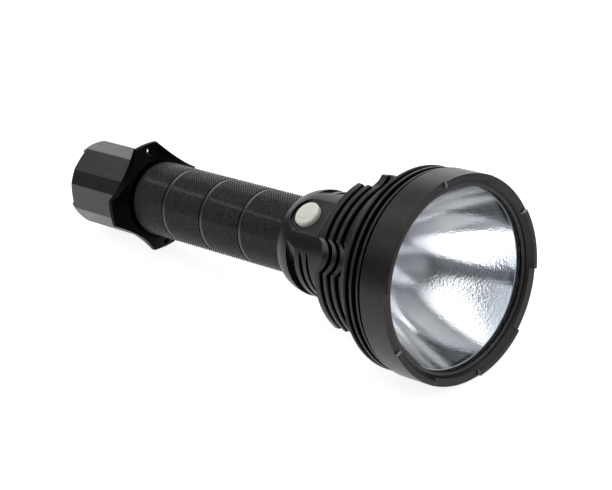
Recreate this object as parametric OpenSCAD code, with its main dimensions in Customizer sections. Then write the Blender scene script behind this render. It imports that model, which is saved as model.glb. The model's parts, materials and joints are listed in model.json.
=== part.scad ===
// Large handheld flashlight lying on its bezel and one tail ear.
// Millimetres, beam along +X with the nose raised by the resting slope, +Z up.

/* [Bezel] */
// Outer diameter of the bezel
bezel_d = 90; // [80:0.5:100]
// Length of the bezel from the crown to its rear edge
bezel_len = 15.8; // [14:0.1:20]
// Thickness of the bezel's wall round the lens
bezel_wall = 2.9; // [2.4:0.1:4]
// Width of the bezel's front face
bezel_face = 2.2; // [1.4:0.1:3]
// Depth of the crown notches
crown_depth = 1.6; // [0.8:0.1:2.4]
// Teeth in the crown
crown_teeth = 5; // [3:1:8]
// Turn of the first crown tooth away from straight up
crown_turn = 14.4; // [0:0.1:72]

/* [Reflector and lens] */
// Width of the lens seal that shows in the mouth
seal_show = 1.5; // [1:0.1:2.5]
// Width of the gap that shows between the seal and the reflector opening
rim_show = 1.1; // [0.6:0.1:2]
// Thickness of the reflector shell
reflector_wall = 1.6; // [1:0.1:2.5]
// Diameter of the hole at the bottom of the reflector
reflector_hole_d = 15; // [14.6:0.1:17]
// Distance from the reflector opening to the light source
source_depth = 39.4; // [35:0.2:43]
// Thickness of the lens
lens_t = 2.6; // [1.5:0.1:4]
// Thickness of the lens seal
seal_t = 1; // [0.6:0.1:1.4]

/* [Head] */
// Step from the bezel's surface down to the front ribs
rib_step = 0.7; // [0.5:0.1:2]
// Width of a front rib
rib_w = 1.25; // [0.8:0.05:2]
// Width of the two wide front grooves
rib_gap = 2.7; // [2:0.1:3.2]
// Width of the narrow groove behind the bezel
joint_gap = 1.55; // [1:0.05:2]
// Depth of the front grooves
rib_gap_depth = 2.5; // [1:0.1:2.8]
// Step from the bezel's surface down to the drum
drum_step = 0.7; // [0.5:0.1:2]
// Length of the drum
drum_len = 12.1; // [10:0.1:15]
// Diameter of the cooling fins
fin_d = 72.8; // [70:0.2:76]
// Width of a cooling fin
fin_w = 2.25; // [1.6:0.05:2.6]
// Width of a fin groove
fin_gap = 2.6; // [2:0.1:3]
// Diameter at the bottom of the fin grooves
fin_core_d = 51; // [50:0.5:56]
// Width of the rearmost fin
last_fin_w = 3.2; // [2:0.1:4]
// Scallops cut across the fins
scallops = 5; // [3:1:8]
// Turn of the first scallop away from straight up
scallop_turn = 5; // [0:0.5:72]
// Radius of a scallop
scallop_r = 8.4; // [6:0.1:10]
// Distance from the axis to the bottom of a scallop
scallop_floor = 31.3; // [29:0.1:33]
// Length of the flare from the fins to the neck
flare_len = 9.4; // [8:0.1:12]
// Thickness of the neck over the tube
neck_wall = 6.5; // [6.2:0.1:8]
// Length of the neck
neck_len = 32.2; // [30:0.2:38]
// Length of the rounded rear edge of the neck
neck_round = 12; // [8:0.1:14]

/* [Switch] */
// Diameter of the button
button_d = 12; // [10:0.1:13]
// Height of the button above its pad
button_proud = 2.6; // [1.4:0.1:3]
// Travel of the button
button_travel = 0.5; // [0.3:0.05:0.5]
// Turn of the button away from straight up, to the left seen from the front
button_turn = 33; // [0:1:60]
// Distance from the neck's rear edge to the button's centre
button_back = 16; // [15:0.1:18]
// Depth of the flat pad below the neck's surface
pad_drop = 1.7; // [1.6:0.1:1.8]
// Distance from the button's centre to the front end of the flat pad
pad_ahead = 12.2; // [10:0.1:14]
// Depth of the cooling slots in the neck
slot_depth = 3.2; // [1.5:0.1:3.6]

/* [Battery tube] */
// Thickness of the tube's wall
tube_wall = 3.8; // [3.4:0.1:5]
// Diameter of a cell
cell_d = 26.5; // [26:0.1:27]
// Length of a cell with its terminal
cell_len = 69; // [67:0.5:70]
// Length of the rear cell that reaches past the tube's shoulder into the tail
cell_overhang = 27.2; // [25:0.1:29]
// Distance from the neck to the first plain groove
grip_start = 28.7; // [26:0.1:30]
// Width of a plain groove between grip bands
grip_gap = 2.8; // [2:0.1:4]
// Depth of a plain groove between grip bands
grip_gap_depth = 0.6; // [0.3:0.1:1]
// Distance between the plain grooves
grip_pitch = 27.25; // [24:0.25:28]
// Plain grooves between grip bands
grip_gaps = 3; // [1:1:3]

/* [Tail] */
// Thickness of the tail ring at its hub
ring_t = 6.4; // [5:0.1:7]
// Thickness of the tail ring at the ear tips
ear_t = 2.2; // [1.6:0.1:3]
// Height of the hollows between the ears above the tube
valley_step = 3.7; // [3:0.1:5]
// Height of an ear tip above the hollows
ear_rise = 5.2; // [4.6:0.1:7]
// Width of an ear
ear_w = 13.2; // [11:0.1:15]
// Diameter of the cord hole in an ear
cord_hole_d = 3.8; // [3:0.1:4]
// Distance from an ear tip to the centre of its cord hole
cord_hole_in = 3.6; // [3.2:0.1:4]
// Length of the tail cap
cap_len = 43; // [42:0.1:48]
// Height of the tail cap's narrow flats above the tube
cap_step = 1.7; // [1.5:0.1:3]
// Height of the tail cap's ridges above its narrow flats
ridge_rise = 1.7; // [1.4:0.1:2.6]
// Depth of the notches in the tail rim
cap_notch = 2.4; // [1.6:0.1:4]
// Turn of the first narrow flat away from straight up
cap_turn = 57.5; // [44:0.5:74]
// Pitch of the tail thread
thread_pitch = 1.5; // [1:0.25:2]
// Turns of the tail thread
thread_turns = 8; // [4:1:8]

/* [Fits] */
// Clearance of a running fit, on the radius
run_fit = 0.08; // [0.05:0.01:0.1]
// Clearance of parts that never touch
air = 0.3; // [0.2:0.05:0.5]
// Clearance of parts that are screwed or dropped in, on the radius
seat_fit = 0.05; // [0.02:0.01:0.1]
// Size of a broken edge
edge = 0.5; // [0.2:0.05:0.6]

/* [Hidden] */
$fn = 96;

// Radii from the bezel inward
bezel_r = bezel_d/2;
mouth_r = bezel_r - bezel_face;
bezel_bore_r = bezel_r - bezel_wall;
lens_gap = 0.5;
lens_r = bezel_bore_r - lens_gap;
lip_over = 1;
lip_r = lens_r - lip_over;
seal_r = lip_r - seal_show;
reflector_r = seal_r - rim_show;
flange_r = lens_r - 0.2;
head_nose_r = bezel_bore_r - seat_fit;
rib_r = bezel_r - rib_step;
rib_floor_r = rib_r - rib_gap_depth;
front_wall = 2.4;
cavity_r = rib_floor_r - front_wall;
drum_r = bezel_r - drum_step;
fin_r = fin_d/2;
core_r = fin_core_d/2;
drum_groove_depth = 3.6;
drum_groove_r = fin_r - drum_groove_depth;

// Radii from the cells outward
cell_r = cell_d/2;
cell_gap = 0.45;
tube_bore_r = cell_r + cell_gap;
tube_r = tube_bore_r + tube_wall;
front_thread_depth = 0.85;
front_thread_r = tube_r - front_thread_depth;
bore_r = front_thread_r + seat_fit;
driver_ledge = 1.7;
driver_bore_r = bore_r - driver_ledge;
rear_thread_depth = 0.9;
rear_thread_r = tube_r - rear_thread_depth;
tail_bore_r = rear_thread_r + run_fit;
neck_r = tube_r + neck_wall;
neck_drop = 5.5;
hub_wall = 2;
hub_r = tube_r + hub_wall;
valley_r = tube_r + valley_step;
ear_reach = valley_r + ear_rise;
cord_hole_reach = ear_reach - cord_hole_in;
ear_count = 4;
cord_holes = 2;
ear_arc_r = 42;
cap_flat_r = tube_r + cap_step;
cap_ridge_r = cap_flat_r + ridge_rise;

// Stations along the axis, zero at the crown and negative to the tail
lip_len = 3.2;
lens_front = -lip_len - seal_t;
lens_back = lens_front - lens_t;
flange_t = 2.2;
head_front = lens_back - flange_t;
bezel_back = -bezel_len;
rib1_front = bezel_back - joint_gap;
rib2_front = rib1_front - rib_w - rib_gap;
drum_front = rib2_front - rib_w - rib_gap;
drum_back = drum_front - drum_len;
fin1_front = drum_back - fin_gap;
fin2_front = fin1_front - fin_w - fin_gap;
fin3_front = fin2_front - fin_w - fin_gap;
fin3_back = fin3_front - last_fin_w;
neck_front = fin3_back - flare_len;
neck_back = neck_front - neck_len;
button_x = neck_back + button_back;
grip_first = neck_back - grip_start;

// Light source, with the reflector's focus on the emitter
source_x = lens_back - source_depth;
focal = (sqrt(source_depth*source_depth + reflector_r*reflector_r) - source_depth)/2;
vertex_x = source_x - focal;
hole_r = reflector_hole_d/2;
reflector_back = vertex_x + hole_r*hole_r/(4*focal);
boss_len = 2;
boss_r = sqrt(4*focal*(reflector_back + boss_len - vertex_x)) + reflector_wall;
dish_steps = 28;
cavity_gap = 0.7;
cavity_steps = 12;
cavity_step_x = drum_front + 1;
insulator_t = 0.7;
shelf_front = reflector_back - insulator_t;
shelf_t = 5;
shelf_back = shelf_front - shelf_t;
board_t = 1.6;
emitter_t = 0.8;
emitter_w = 5;
dome_r = 2.2;
board_front = source_x - emitter_t;
post_front = board_front - board_t;
post_gap = 1.2;
post_r = hole_r - post_gap;
lead_r = 0.6;
lead_in = 1.4;
lead_reach = post_r - lead_in;
lead_slot_r = lead_r + 0.2;
lead_proud = 0.4;
screw_reach = 4.6;
screw_r = 0.9;
screw_head_r = 1.4;
screw_head_t = 0.8;
screw_bite = 2;
screw_end = shelf_front - screw_bite;

// Front seals
seal_edge = 0.35;
seal_wrap = 0.3;
bezel_seal_r = 0.8;
bezel_seal_back = 1.2;
bezel_seal_x = (bezel_back + head_front)/2 - bezel_seal_back;
bezel_seal_ring_r = bezel_bore_r - bezel_seal_r - seat_fit;

// Rounded and broken edges
rib_bevel = 0.25;
fin_bevel = 0.4;
fin_taper = 0.2;
last_fin_taper = 0.5;
flare_in = 1;
drum_bow = 0.1;
arc_steps = 10;
scallop_back = 1.6;
past = 1;
cut_reach = 40;

// Cooling slots of the neck, which run out at an angle from the button's plane
slot_off = 7;
slot_out = 38;
slot_corner = 5;
rear_slot_back = 5.6;
rear_slot_w = 5.6;
rear_slot_out = 31;
rear_slot_corner = 8;
middle_slot_ahead = 2.7;
middle_slot_w = 2.4;
front_slot_ahead = 7.3;
front_slot_w = 1.7;

// Driver and switch
driver_back_off = 1.2;
driver_front = button_x - driver_back_off;
lock_t = 2;
lock_w = 4.6;
spanner_r = 1;
driver_back = driver_front - board_t;
tube_front = driver_back - lock_t;
choke_w = 8;
choke_t = 5;
choke_reach = 11;
chip_w = 5;
chip_t = 2.2;
chip_reach = 4.5;
diode_w = 4;
diode_t = 1.6;
diode_reach = 5;
switch_board_t = 0.7;
switch_t = 1.4;
switch_w = 5.2;
stem_proud = button_travel + 0.2;
button_flange_t = 0.6;
button_lock_t = 0.85;
stack_gap = 0.05;
nub_t = 0.1;
nub_r = 2.4;
pad_height = neck_r - pad_drop;
button_lock_low = pad_height - button_lock_t;
flange_low = button_lock_low - stack_gap - button_flange_t;
stem_top = flange_low - nub_t;
switch_floor = stem_top - stem_proud - switch_t - switch_board_t;
button_r = button_d/2;
button_lock_w = 2.2;
lock_bevel = 0.3;
switch_well_r = button_r + button_lock_w;
switch_board_r = switch_well_r - seat_fit;
stem_r = 1.5;
stem_in = 0.7;
stem_over = 0.1;
button_flange_r = switch_well_r - 0.5;
button_gap = 0.1;
button_round = 1.1;
button_top = pad_height + button_proud;
pad_rim = 0.8;
pad_cut_r = switch_well_r + pad_rim;
switch_lead_r = 0.5;
switch_lead_gap = 1.6;
switch_lead_ahead = 4.2;
switch_lead_x = driver_front + switch_lead_ahead;
switch_lead_elbow = driver_bore_r - 3;

// Cells, springs and tail
seal_wire_r = 0.8;
seal_groove = 0.02;
front_seal_in = 2.6;
front_seal_x = neck_back + front_seal_in;
front_seal_ring_r = tube_r - seal_wire_r + seat_fit - seal_groove;
bore_step_ahead = 2;
bore_step_x = front_seal_x + bore_step_ahead;
bore_step_len = 0.5;
spring_wire_r = 0.55;
spring_turns = 4;
spring_tip_gap = 0.02;
front_spring_len = 4.8;
front_spring_r = 6.5;
front_spring_tip_r = 3.2;
tail_spring_r = 8;
tail_spring_tip_r = 4;
cell_front_x = tube_front - front_spring_len - lock_t;
cell_mid_x = cell_front_x - cell_len;
cell_back_x = cell_mid_x - cell_len;
cell_bevel = 0.8;
terminal_t = 1.6;
terminal_r = 4.6;
tube_shoulder = cell_back_x + cell_overhang;
ring_back = tube_shoulder - air - ring_t;
cap_front = ring_back - air;
cap_back = cap_front - cap_len;
thread_travel = thread_pitch*thread_turns;
thread_relief = 1.6;
tube_back = cap_front - thread_travel - thread_relief;
rear_seal_in = 3;
rear_seal_x = cap_front - rear_seal_in;
rear_seal_ring_r = rear_thread_r - seal_wire_r + seal_groove;
cap_wall = 6;
cap_hollow = cap_notch + 0.8;
disc_t = 1.5;
disc_seat = 0.1;
disc_back = cap_back + cap_hollow + cap_wall;
disc_front = disc_back + disc_t;
disc_step = 1.8;
disc_r = rear_thread_r - disc_step;
tail_lock_t = 1.8;
tail_lock_w = 3.5;
tail_lock_back = disc_front + disc_seat;
tail_lock_front = tail_lock_back + tail_lock_t;
tail_lock_r = tail_bore_r - seat_fit;
cap_flats = 3;
cap_half_flat = 10.5;
cap_half_ridge = 45;
cap_hollow_r = disc_r - 0.4;
cap_notch_half = 43.5;
notch_round_r = 4.2;
notch_round_len = 5;
cap_front_bevel = 2;
cap_round_r = 3;
cap_round_len = 6;

// Resting pose on the bezel's rear edge and the lowest ear
rest_x = bezel_back + edge;
slope = atan((bezel_r - ear_reach)/(rest_x - ring_back));
rest_z = bezel_r*cos(slope) - rest_x*sin(slope);
tooth_half = 90/crown_teeth;
low_tooth_gap = min([for (k = [0:crown_teeth - 1], side = [-1, 1])
    abs((crown_turn + 360*k/crown_teeth + side*tooth_half) % 360 - 180)]);
nose_x = (bezel_r - edge)*sin(slope)*cos(low_tooth_gap);
tail_x = cap_back*cos(slope) - (cap_ridge_r - cap_round_r)*sin(slope);
centre_x = (nose_x + tail_x)/2;

// Whole part from the axis frame to the resting pose
module laid() {
    translate([-centre_x, 0, rest_z]) rotate([0, -slope, 0]) children();
}

// Turned solid from a profile of [radius, station] points
module turned() {
    rotate([0, 90, 0]) rotate_extrude() children();
}

// Plain ring between two stations
module ring(front, back, outer, inner) {
    turned() translate([inner, back]) square([outer - inner, front - back]);
}

// Plain rod between two stations
module rod(front, back, r) {
    translate([back, 0, 0]) rotate([0, 90, 0]) cylinder(r = r, h = front - back);
}

// O-ring
module o_ring(x, centre_r, wire_r) {
    turned() translate([centre_r, x]) circle(r = wire_r, $fn = 32);
}

// Children turned from straight up to an angle about the axis
module around(angle) {
    rotate([-angle, 0, 0]) children();
}

// Children copied evenly about the axis
module copies(count, first) {
    for (k = [0:count - 1]) around(first + 360*k/count) children();
}

// Children moved from the origin to the button's own axis
module at_button() {
    around(-button_turn) translate([button_x, 0, 0]) children();
}

// Points of the reflector curve moved outward by a shell thickness
function dish(x, out) = [sqrt(4*focal*(x - vertex_x)) + out, x];
function dish_x(k) = reflector_back + (lens_back - reflector_back)*pow(k/dish_steps, 1.4);

// Coil of round wire from one station to another with a changing radius
module coil(front, back, front_r, back_r, wire_r, turns) {
    steps = turns*20;
    sides = 8;
    function spot(k) = let (t = k/steps, a = 360*turns*t, r = front_r + (back_r - front_r)*t)
        [front + (back - front)*t, r*cos(a), r*sin(a)];
    function rim(k, j) = let (a = 360*turns*k/steps, b = 360*j/sides)
        spot(k) + [wire_r*sin(b), wire_r*cos(b)*cos(a), wire_r*cos(b)*sin(a)];
    points = [for (k = [0:steps], j = [0:sides - 1]) rim(k, j)];
    sheet = [for (k = [0:steps - 1], j = [0:sides - 1]) let (n = (j + 1) % sides)
        [k*sides + j, k*sides + n, (k + 1)*sides + n, (k + 1)*sides + j]];
    caps = [[for (j = [sides - 1:-1:0]) j], [for (j = [0:sides - 1]) steps*sides + j]];
    polyhedron(points = points, faces = concat(sheet, caps));
}

module bezel_ring() color([0.13, 0.125, 0.13]) laid() difference() {
    turned() polygon([
        [mouth_r, 0], [bezel_r - edge, 0], [bezel_r, -edge], [bezel_r, bezel_back + edge],
        [bezel_r - edge, bezel_back], [bezel_bore_r, bezel_back], [bezel_bore_r, -lip_len],
        [lip_r, -lip_len], [lip_r, -lip_len + edge]]);
    copies(crown_teeth, crown_turn + 180/crown_teeth) crown_notch();
}

// Sector removed between two crown teeth
module crown_notch() {
    reach = bezel_r/cos(tooth_half);
    rotate([0, 90, 0]) translate([0, 0, -crown_depth]) linear_extrude(crown_depth + past)
        polygon([[0, 0], [-reach*cos(tooth_half), -reach*sin(tooth_half)], [-reach, 0],
            [-reach*cos(tooth_half), reach*sin(tooth_half)]]);
}

module bezel_seal() color([0.05, 0.05, 0.05]) laid()
    o_ring(bezel_seal_x, bezel_seal_ring_r, bezel_seal_r);

module lens() color([0.8, 0.88, 0.95]) laid() ring_disc(lens_front, lens_back, lens_r, seal_wrap);

// Disc with broken edges
module ring_disc(front, back, r, broken) {
    turned() polygon([[0, front], [r - broken, front], [r, front - broken], [r, back + broken],
        [r - broken, back], [0, back]]);
}

module lens_seal() color([0.03, 0.03, 0.03]) laid() turned() polygon([
    [seal_r, -lip_len - seal_edge], [seal_r + seal_edge, -lip_len], [lens_r + seal_wrap, -lip_len],
    [lens_r + seal_wrap, lens_back], [lens_r, lens_back], [lens_r, lens_front], [seal_r, lens_front]]);

module reflector() color([0.85, 0.86, 0.88]) laid() turned() polygon(concat(
    [for (k = [0:dish_steps]) dish(dish_x(k), 0)],
    [[flange_r, lens_back], [flange_r, head_front], [cavity_r - air, head_front]],
    [for (k = [dish_steps:-1:0]) let (x = dish_x(k))
        if (x < head_front - boss_len && x > reflector_back + boss_len) dish(x, reflector_wall)],
    [[boss_r, reflector_back + boss_len], [boss_r, reflector_back]]));

module reflector_insulator() color([0.92, 0.92, 0.9]) laid()
    ring(reflector_back, shelf_front, boss_r, post_r + seat_fit);

module led_post() color([0.72, 0.43, 0.27]) laid() difference() {
    rod(post_front, shelf_front, post_r);
    lead_slots(post_front + past, shelf_front - past);
    screw_holes(post_front + past, shelf_front - past);
}

// Two passages for the leads
module lead_slots(front, back) {
    copies(2, 90) translate([0, 0, lead_reach]) rod(front, back, lead_slot_r);
}

// Two passages for the board screws
module screw_holes(front, back) {
    copies(2, 0) translate([0, 0, screw_reach]) rod(front, back, screw_r + seat_fit);
}

module led_board() color([0.93, 0.93, 0.92]) laid() difference() {
    rod(board_front, post_front, post_r);
    lead_slots(board_front + past, post_front - past);
    screw_holes(board_front + past, post_front - past);
}

module led_emitter() color([0.9, 0.88, 0.6]) laid()
    translate([board_front, -emitter_w/2, -emitter_w/2]) cube([emitter_t, emitter_w, emitter_w]);

module led_dome() color([0.95, 0.95, 0.85]) laid() intersection() {
    translate([source_x, 0, 0]) sphere(r = dome_r, $fn = 48);
    rod(source_x + emitter_w, source_x, emitter_w);
}

module led_board_screws() color([0.75, 0.75, 0.76]) laid() copies(2, 0) translate([0, 0, screw_reach])
    turned() polygon([[0, board_front + screw_head_t], [screw_head_r, board_front + screw_head_t],
        [screw_head_r, board_front], [screw_r, board_front], [screw_r, screw_end], [0, screw_end]]);

module led_leads() color([0.7, 0.1, 0.08]) laid() copies(2, 90) translate([0, 0, lead_reach])
    rod(board_front + lead_proud, driver_front, lead_r);

// Outline of the head from the bezel joint to the neck's rear edge
function quarter(k, n) = 90*k/n;
function head_outline() = concat(
    [[head_nose_r, head_front], [head_nose_r, bezel_back], [rib_floor_r, bezel_back],
        [rib_floor_r, rib1_front]],
    fin_edge(rib_r, rib1_front, rib_w, rib_bevel),
    [[rib_floor_r, rib1_front - rib_w], [rib_floor_r, rib2_front]],
    fin_edge(rib_r, rib2_front, rib_w, rib_bevel),
    [[rib_floor_r, rib2_front - rib_w], [rib_floor_r, drum_front], [drum_r - edge, drum_front],
        [drum_r, drum_front - edge]],
    [for (k = [0:arc_steps]) let (t = k/arc_steps)
        [drum_r + (fin_r - drum_r)*(t + drum_bow*t*(1 - t)),
            drum_front - 2*edge - (drum_len - 2.4*edge)*t]],
    [[fin_r - edge, drum_back], [drum_groove_r, drum_back], [drum_groove_r, fin1_front]],
    fin_edge(fin_r, fin1_front, fin_w, fin_bevel),
    [[core_r, fin1_front - fin_w], [core_r, fin2_front]],
    fin_edge(fin_r - fin_taper, fin2_front, fin_w, fin_bevel),
    [[core_r, fin2_front - fin_w], [core_r, fin3_front]],
    fin_edge(fin_r - last_fin_taper, fin3_front, last_fin_w, fin_bevel),
    [for (k = [1:arc_steps]) let (a = quarter(k, arc_steps))
        [neck_r + (fin_r - flare_in - neck_r)*pow(1 - sin(a), 1.15), fin3_back - flare_len*(1 - cos(a))]],
    [for (k = [0:arc_steps]) let (a = quarter(k, arc_steps))
        [neck_r - neck_drop*(1 - cos(a)), neck_back + neck_round*(1 - sin(a))]]);
function fin_edge(r, front, w, bevel) = [[r - bevel, front], [r, front - bevel],
    [r, front - w + bevel], [r - bevel, front - w]];

// Outline of the hollow that holds the reflector
function cavity_x(k) = cavity_step_x + (reflector_back + boss_len - cavity_step_x)*k/cavity_steps;
function cavity_outline() = concat(
    [[0, head_front + past], [cavity_r, head_front + past], [cavity_r, cavity_step_x]],
    [for (k = [0:cavity_steps]) dish(cavity_x(k), reflector_wall + cavity_gap)],
    [[boss_r + cavity_gap, shelf_front], [0, shelf_front]]);

module head_body() color([0.12, 0.115, 0.12]) laid() difference() {
    turned() polygon(concat([[0, head_front]], head_outline(), [[0, neck_back]]));
    turned() polygon(cavity_outline());
    turned() polygon([[0, shelf_back], [driver_bore_r, shelf_back], [driver_bore_r, driver_front],
        [bore_r, driver_front], [bore_r, bore_step_x], [tube_r + seat_fit, bore_step_x - bore_step_len],
        [tube_r + seat_fit, neck_back - past], [0, neck_back - past]]);
    o_ring(bezel_seal_x, bezel_seal_ring_r, bezel_seal_r + seat_fit);
    lead_slots(shelf_front + past, shelf_back - past);
    screw_holes(shelf_front + past, screw_end - air);
    copies(scallops, scallop_turn) scallop();
    neck_slot(-rear_slot_back, rear_slot_w, rear_slot_out, rear_slot_corner);
    neck_slot(middle_slot_ahead, middle_slot_w, slot_out, slot_corner);
    neck_slot(front_slot_ahead, front_slot_w, slot_out, slot_corner);
    switch_cuts();
}

// Ball-ended cut across the fins
module scallop() {
    translate([drum_back - scallop_back, 0, scallop_floor + scallop_r]) {
        sphere(r = scallop_r, $fn = 48);
        rotate([0, -90, 0]) cylinder(r = scallop_r, h = cut_reach, $fn = 48);
    }
}

// Cooling slot round the neck, turned about a line set off towards the button so that it runs out there
module neck_slot(ahead, w, out, corner) {
    back = button_x + ahead;
    over = neck_r + 2*slot_off;
    difference() {
        around(-button_turn) translate([0, 0, slot_off]) turned()
            polygon([[slot_floor(out), back], [slot_floor(out + corner), back + w], [over, back + w],
                [over, back]]);
        rod(back + w + past, back - past, neck_r - slot_depth);
    }
}
function slot_floor(out) = norm([neck_r*sin(out), neck_r*cos(out) - slot_off]);

// Pad, well and lead passage of the side switch
module switch_cuts() {
    at_button() {
        translate([0, 0, pad_height]) {
            cylinder(r = pad_cut_r, h = cut_reach);
            translate([0, -pad_cut_r, 0]) cube([pad_ahead, 2*pad_cut_r, cut_reach]);
        }
        translate([0, 0, switch_floor]) cylinder(r = switch_well_r, h = cut_reach);
    }
    around(-button_turn)
        switch_lead_pair(switch_lead_r + 0.15, switch_floor + past, switch_lead_elbow - past);
}

// Two rods standing on the switch floor
module switch_lead_pair(r, top, bottom) {
    for (side = [-1, 1]) translate([switch_lead_x, side*switch_lead_gap, bottom])
        cylinder(r = r, h = top - bottom, $fn = 32);
}

module switch_board() color([0.1, 0.3, 0.16]) laid() at_button() difference() {
    translate([0, 0, switch_floor]) cylinder(r = switch_board_r, h = switch_board_t);
    translate([-button_x, 0, 0])
        switch_lead_pair(switch_lead_r, switch_floor + 2*past, switch_floor - past);
}

module tactile_switch() color([0.2, 0.2, 0.21]) laid() at_button() difference() {
    translate([-switch_w/2, -switch_w/2, switch_floor + switch_board_t])
        cube([switch_w, switch_w, switch_t]);
    translate([0, 0, stem_top - stem_proud - stem_in - button_travel - stem_over])
        cylinder(r = stem_r + run_fit, h = cut_reach);
}

module switch_stem() color([0.85, 0.83, 0.78]) laid() at_button()
    translate([0, 0, stem_top - stem_proud - stem_in]) cylinder(r = stem_r, h = stem_in + stem_proud);

module switch_button() color([0.8, 0.83, 0.78]) laid() at_button() {
    translate([0, 0, stem_top]) cylinder(r = nub_r, h = flange_low - stem_top + nub_t);
    translate([0, 0, flange_low]) cylinder(r = button_flange_r, h = button_flange_t);
    rotate_extrude() polygon(concat([[0, flange_low], [button_r, flange_low]],
        [for (k = [0:arc_steps]) let (a = quarter(k, arc_steps))
            [button_r - button_round*(1 - cos(a)), button_top - button_round*(1 - sin(a))]],
        [[0, button_top]]));
}

module switch_lock_ring() color([0.06, 0.06, 0.065]) laid() at_button() rotate_extrude() polygon([
    [button_r + button_gap, button_lock_low], [switch_well_r - seat_fit, button_lock_low],
    [switch_well_r - seat_fit, pad_height - lock_bevel], [switch_well_r - lock_bevel, pad_height],
    [button_r + 2*lock_bevel, pad_height], [button_r + button_gap, pad_height - lock_bevel]]);

module switch_leads() color([0.75, 0.65, 0.1]) laid() around(-button_turn) {
    switch_lead_pair(switch_lead_r, switch_floor + switch_board_t, switch_lead_elbow);
    for (side = [-1, 1]) translate([0, side*switch_lead_gap, switch_lead_elbow]) {
        translate([switch_lead_x, 0, 0]) sphere(r = switch_lead_r, $fn = 24);
        rod(switch_lead_x, driver_front, switch_lead_r);
    }
}

module driver_board() color([0.1, 0.3, 0.16]) laid() rod(driver_front, driver_back, front_thread_r);

module driver_components() color([0.15, 0.15, 0.16]) laid() translate([driver_front, 0, 0]) {
    translate([0, -choke_w/2, -choke_reach]) cube([choke_t, choke_w, choke_w]);
    translate([0, chip_reach, -chip_w - chip_t]) cube([chip_t, chip_w, chip_w]);
    translate([0, -diode_reach - diode_w, -diode_w]) cube([diode_t, diode_w, diode_w/2]);
    translate([0, chip_reach, diode_w/2]) cube([diode_t, diode_w/2, diode_w/2]);
    translate([0, -diode_w/2, -diode_t]) cube([diode_t, diode_w, diode_w]);
}

module driver_lock_ring() color([0.72, 0.56, 0.26]) laid() difference() {
    ring(driver_back, tube_front, front_thread_r, bore_r - lock_w);
    for (side = [-1, 1]) translate([0, side*(bore_r - lock_w), 0])
        rod(driver_back + past, tube_front - past, spanner_r);
}

module front_spring() color([0.8, 0.68, 0.35]) laid()
    coil(driver_back - spring_wire_r, cell_front_x + spring_wire_r, front_spring_r, front_spring_tip_r,
        spring_wire_r, spring_turns);

module battery_tube() color([0.12, 0.12, 0.125]) laid() difference() {
    turned() polygon(concat(
        [[tube_bore_r, tube_front], [front_thread_r, tube_front], [front_thread_r, bore_step_x - air],
            [tube_r, bore_step_x - bore_step_len - air]],
        [for (k = [0:grip_gaps - 1]) each grip_groove(grip_first - k*grip_pitch)],
        [[tube_r, tube_shoulder + edge], [tube_r - edge, tube_shoulder], [rear_thread_r, tube_shoulder],
            [rear_thread_r, tube_back + edge], [rear_thread_r - edge, tube_back],
            [tube_bore_r, tube_back]]));
    o_ring(front_seal_x, front_seal_ring_r, seal_wire_r + seal_groove);
    o_ring(rear_seal_x, rear_seal_ring_r, seal_wire_r + seal_groove);
}
function grip_groove(x) = [[tube_r, x + grip_gap/2], [tube_r - grip_gap_depth, x + grip_gap/2 - 0.3],
    [tube_r - grip_gap_depth, x - grip_gap/2 + 0.3], [tube_r, x - grip_gap/2]];

module tube_front_seal() color([0.05, 0.05, 0.05]) laid()
    o_ring(front_seal_x, front_seal_ring_r, seal_wire_r);

module tube_rear_seal() color([0.05, 0.05, 0.05]) laid()
    o_ring(rear_seal_x, rear_seal_ring_r, seal_wire_r);

module cell_front() color([0.1, 0.3, 0.55]) laid() cell(cell_front_x);

module cell_rear() color([0.1, 0.3, 0.55]) laid() cell(cell_mid_x);

// Can of a cell behind its terminal
module cell(front) {
    ring_disc(front - terminal_t, front - cell_len, cell_r, cell_bevel);
}

module cell_terminals() color([0.78, 0.78, 0.79]) laid() {
    rod(cell_front_x, cell_front_x - terminal_t, terminal_r);
    rod(cell_mid_x, cell_mid_x - terminal_t, terminal_r);
}

module tail_ring() color([0.04, 0.04, 0.042]) laid() difference() {
    intersection() {
        translate([ring_back, 0, 0]) rotate([0, 90, 0]) linear_extrude(ring_t) ear_plan();
        turned() polygon([[tube_bore_r, ring_back], [ear_reach + past, ring_back],
            [ear_reach + past, ring_back + ear_t], [ear_reach, ring_back + ear_t],
            [hub_r, ring_back + ring_t], [tube_bore_r, ring_back + ring_t]]);
    }
    rod(ring_back + ring_t + past, ring_back - past, tail_bore_r);
    copies(cord_holes, 0) translate([0, 0, cord_hole_reach])
        rod(ring_back + ring_t + past, ring_back - past, cord_hole_d/2);
}

// Plan of the tail ring: a disc with four hollows and flattened ear tips
module ear_plan() {
    tip = ear_reach - ear_arc_r;
    difference() {
        intersection_for(k = [0:ear_count - 1]) rotate(360*k/ear_count) translate([tip, 0])
            circle(r = ear_arc_r);
        for (k = [0:ear_count - 1]) rotate(360*(k + 0.5)/ear_count) ear_hollow();
    }
}

// Hollow between two ears, tangent to the valley and ending at the ears' sides
module ear_hollow() {
    half = (180/ear_count) - asin(ear_w/2/ear_reach);
    reach = ear_reach*cos(half);
    wide = ear_reach*sin(half);
    deep = reach - valley_r;
    arc = (wide*wide + deep*deep)/(2*deep);
    translate([valley_r + arc, 0]) circle(r = arc);
}

// Twelve-sided plan of the tail cap
function cap_plan() = [for (k = [0:cap_flats - 1]) let (a = cap_turn + 360*k/cap_flats) each [
    spin(cap_flat_r/cos(cap_half_flat), a - cap_half_flat),
    spin(cap_flat_r/cos(cap_half_flat), a + cap_half_flat),
    spin(cap_ridge_r, a + cap_half_ridge), spin(cap_ridge_r, a + 360/cap_flats - cap_half_ridge)]];
function spin(r, angle) = [-r*cos(angle), r*sin(angle)];

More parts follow.
